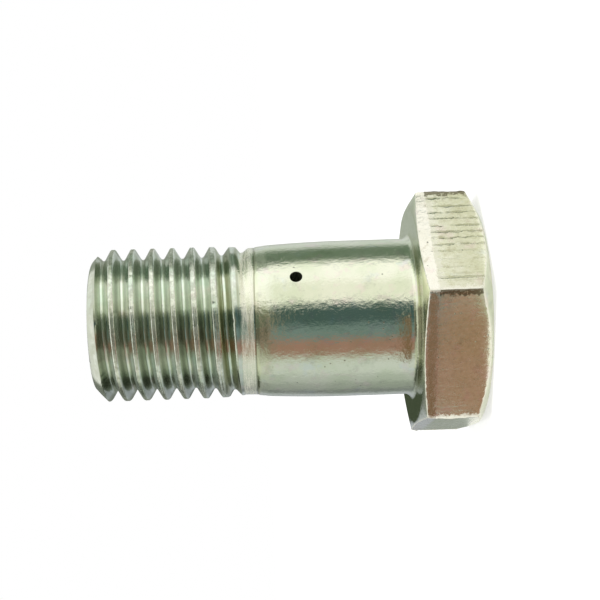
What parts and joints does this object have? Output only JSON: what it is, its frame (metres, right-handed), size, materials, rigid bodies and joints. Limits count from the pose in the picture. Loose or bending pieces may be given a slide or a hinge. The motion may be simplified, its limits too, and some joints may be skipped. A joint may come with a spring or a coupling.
{
  "type": "banjo bolt",
  "caption": "Hollow hexagon-head banjo bolt: a plain shank with a small fluid hole in its side, a rolled thread with a runout, and a blind bore in its end.",
  "frame": {"origin": "centre of the flat crown of the head, which is the face that the bolt stands on", "axes": "+Z along the bolt's axis from the head to the threaded end, X through two corners of the hexagon, Y square to two of its flats"},
  "size_m": [0.0196, 0.017, 0.0292],
  "materials": {
    "zinc_plated_steel": "bright zinc plate with a faint yellow and green passivation tint, satin on the flats"
  },
  "bodies": {
    "root": {"banjo_bolt": "zinc_plated_steel"}
  },
  "joints": []
}
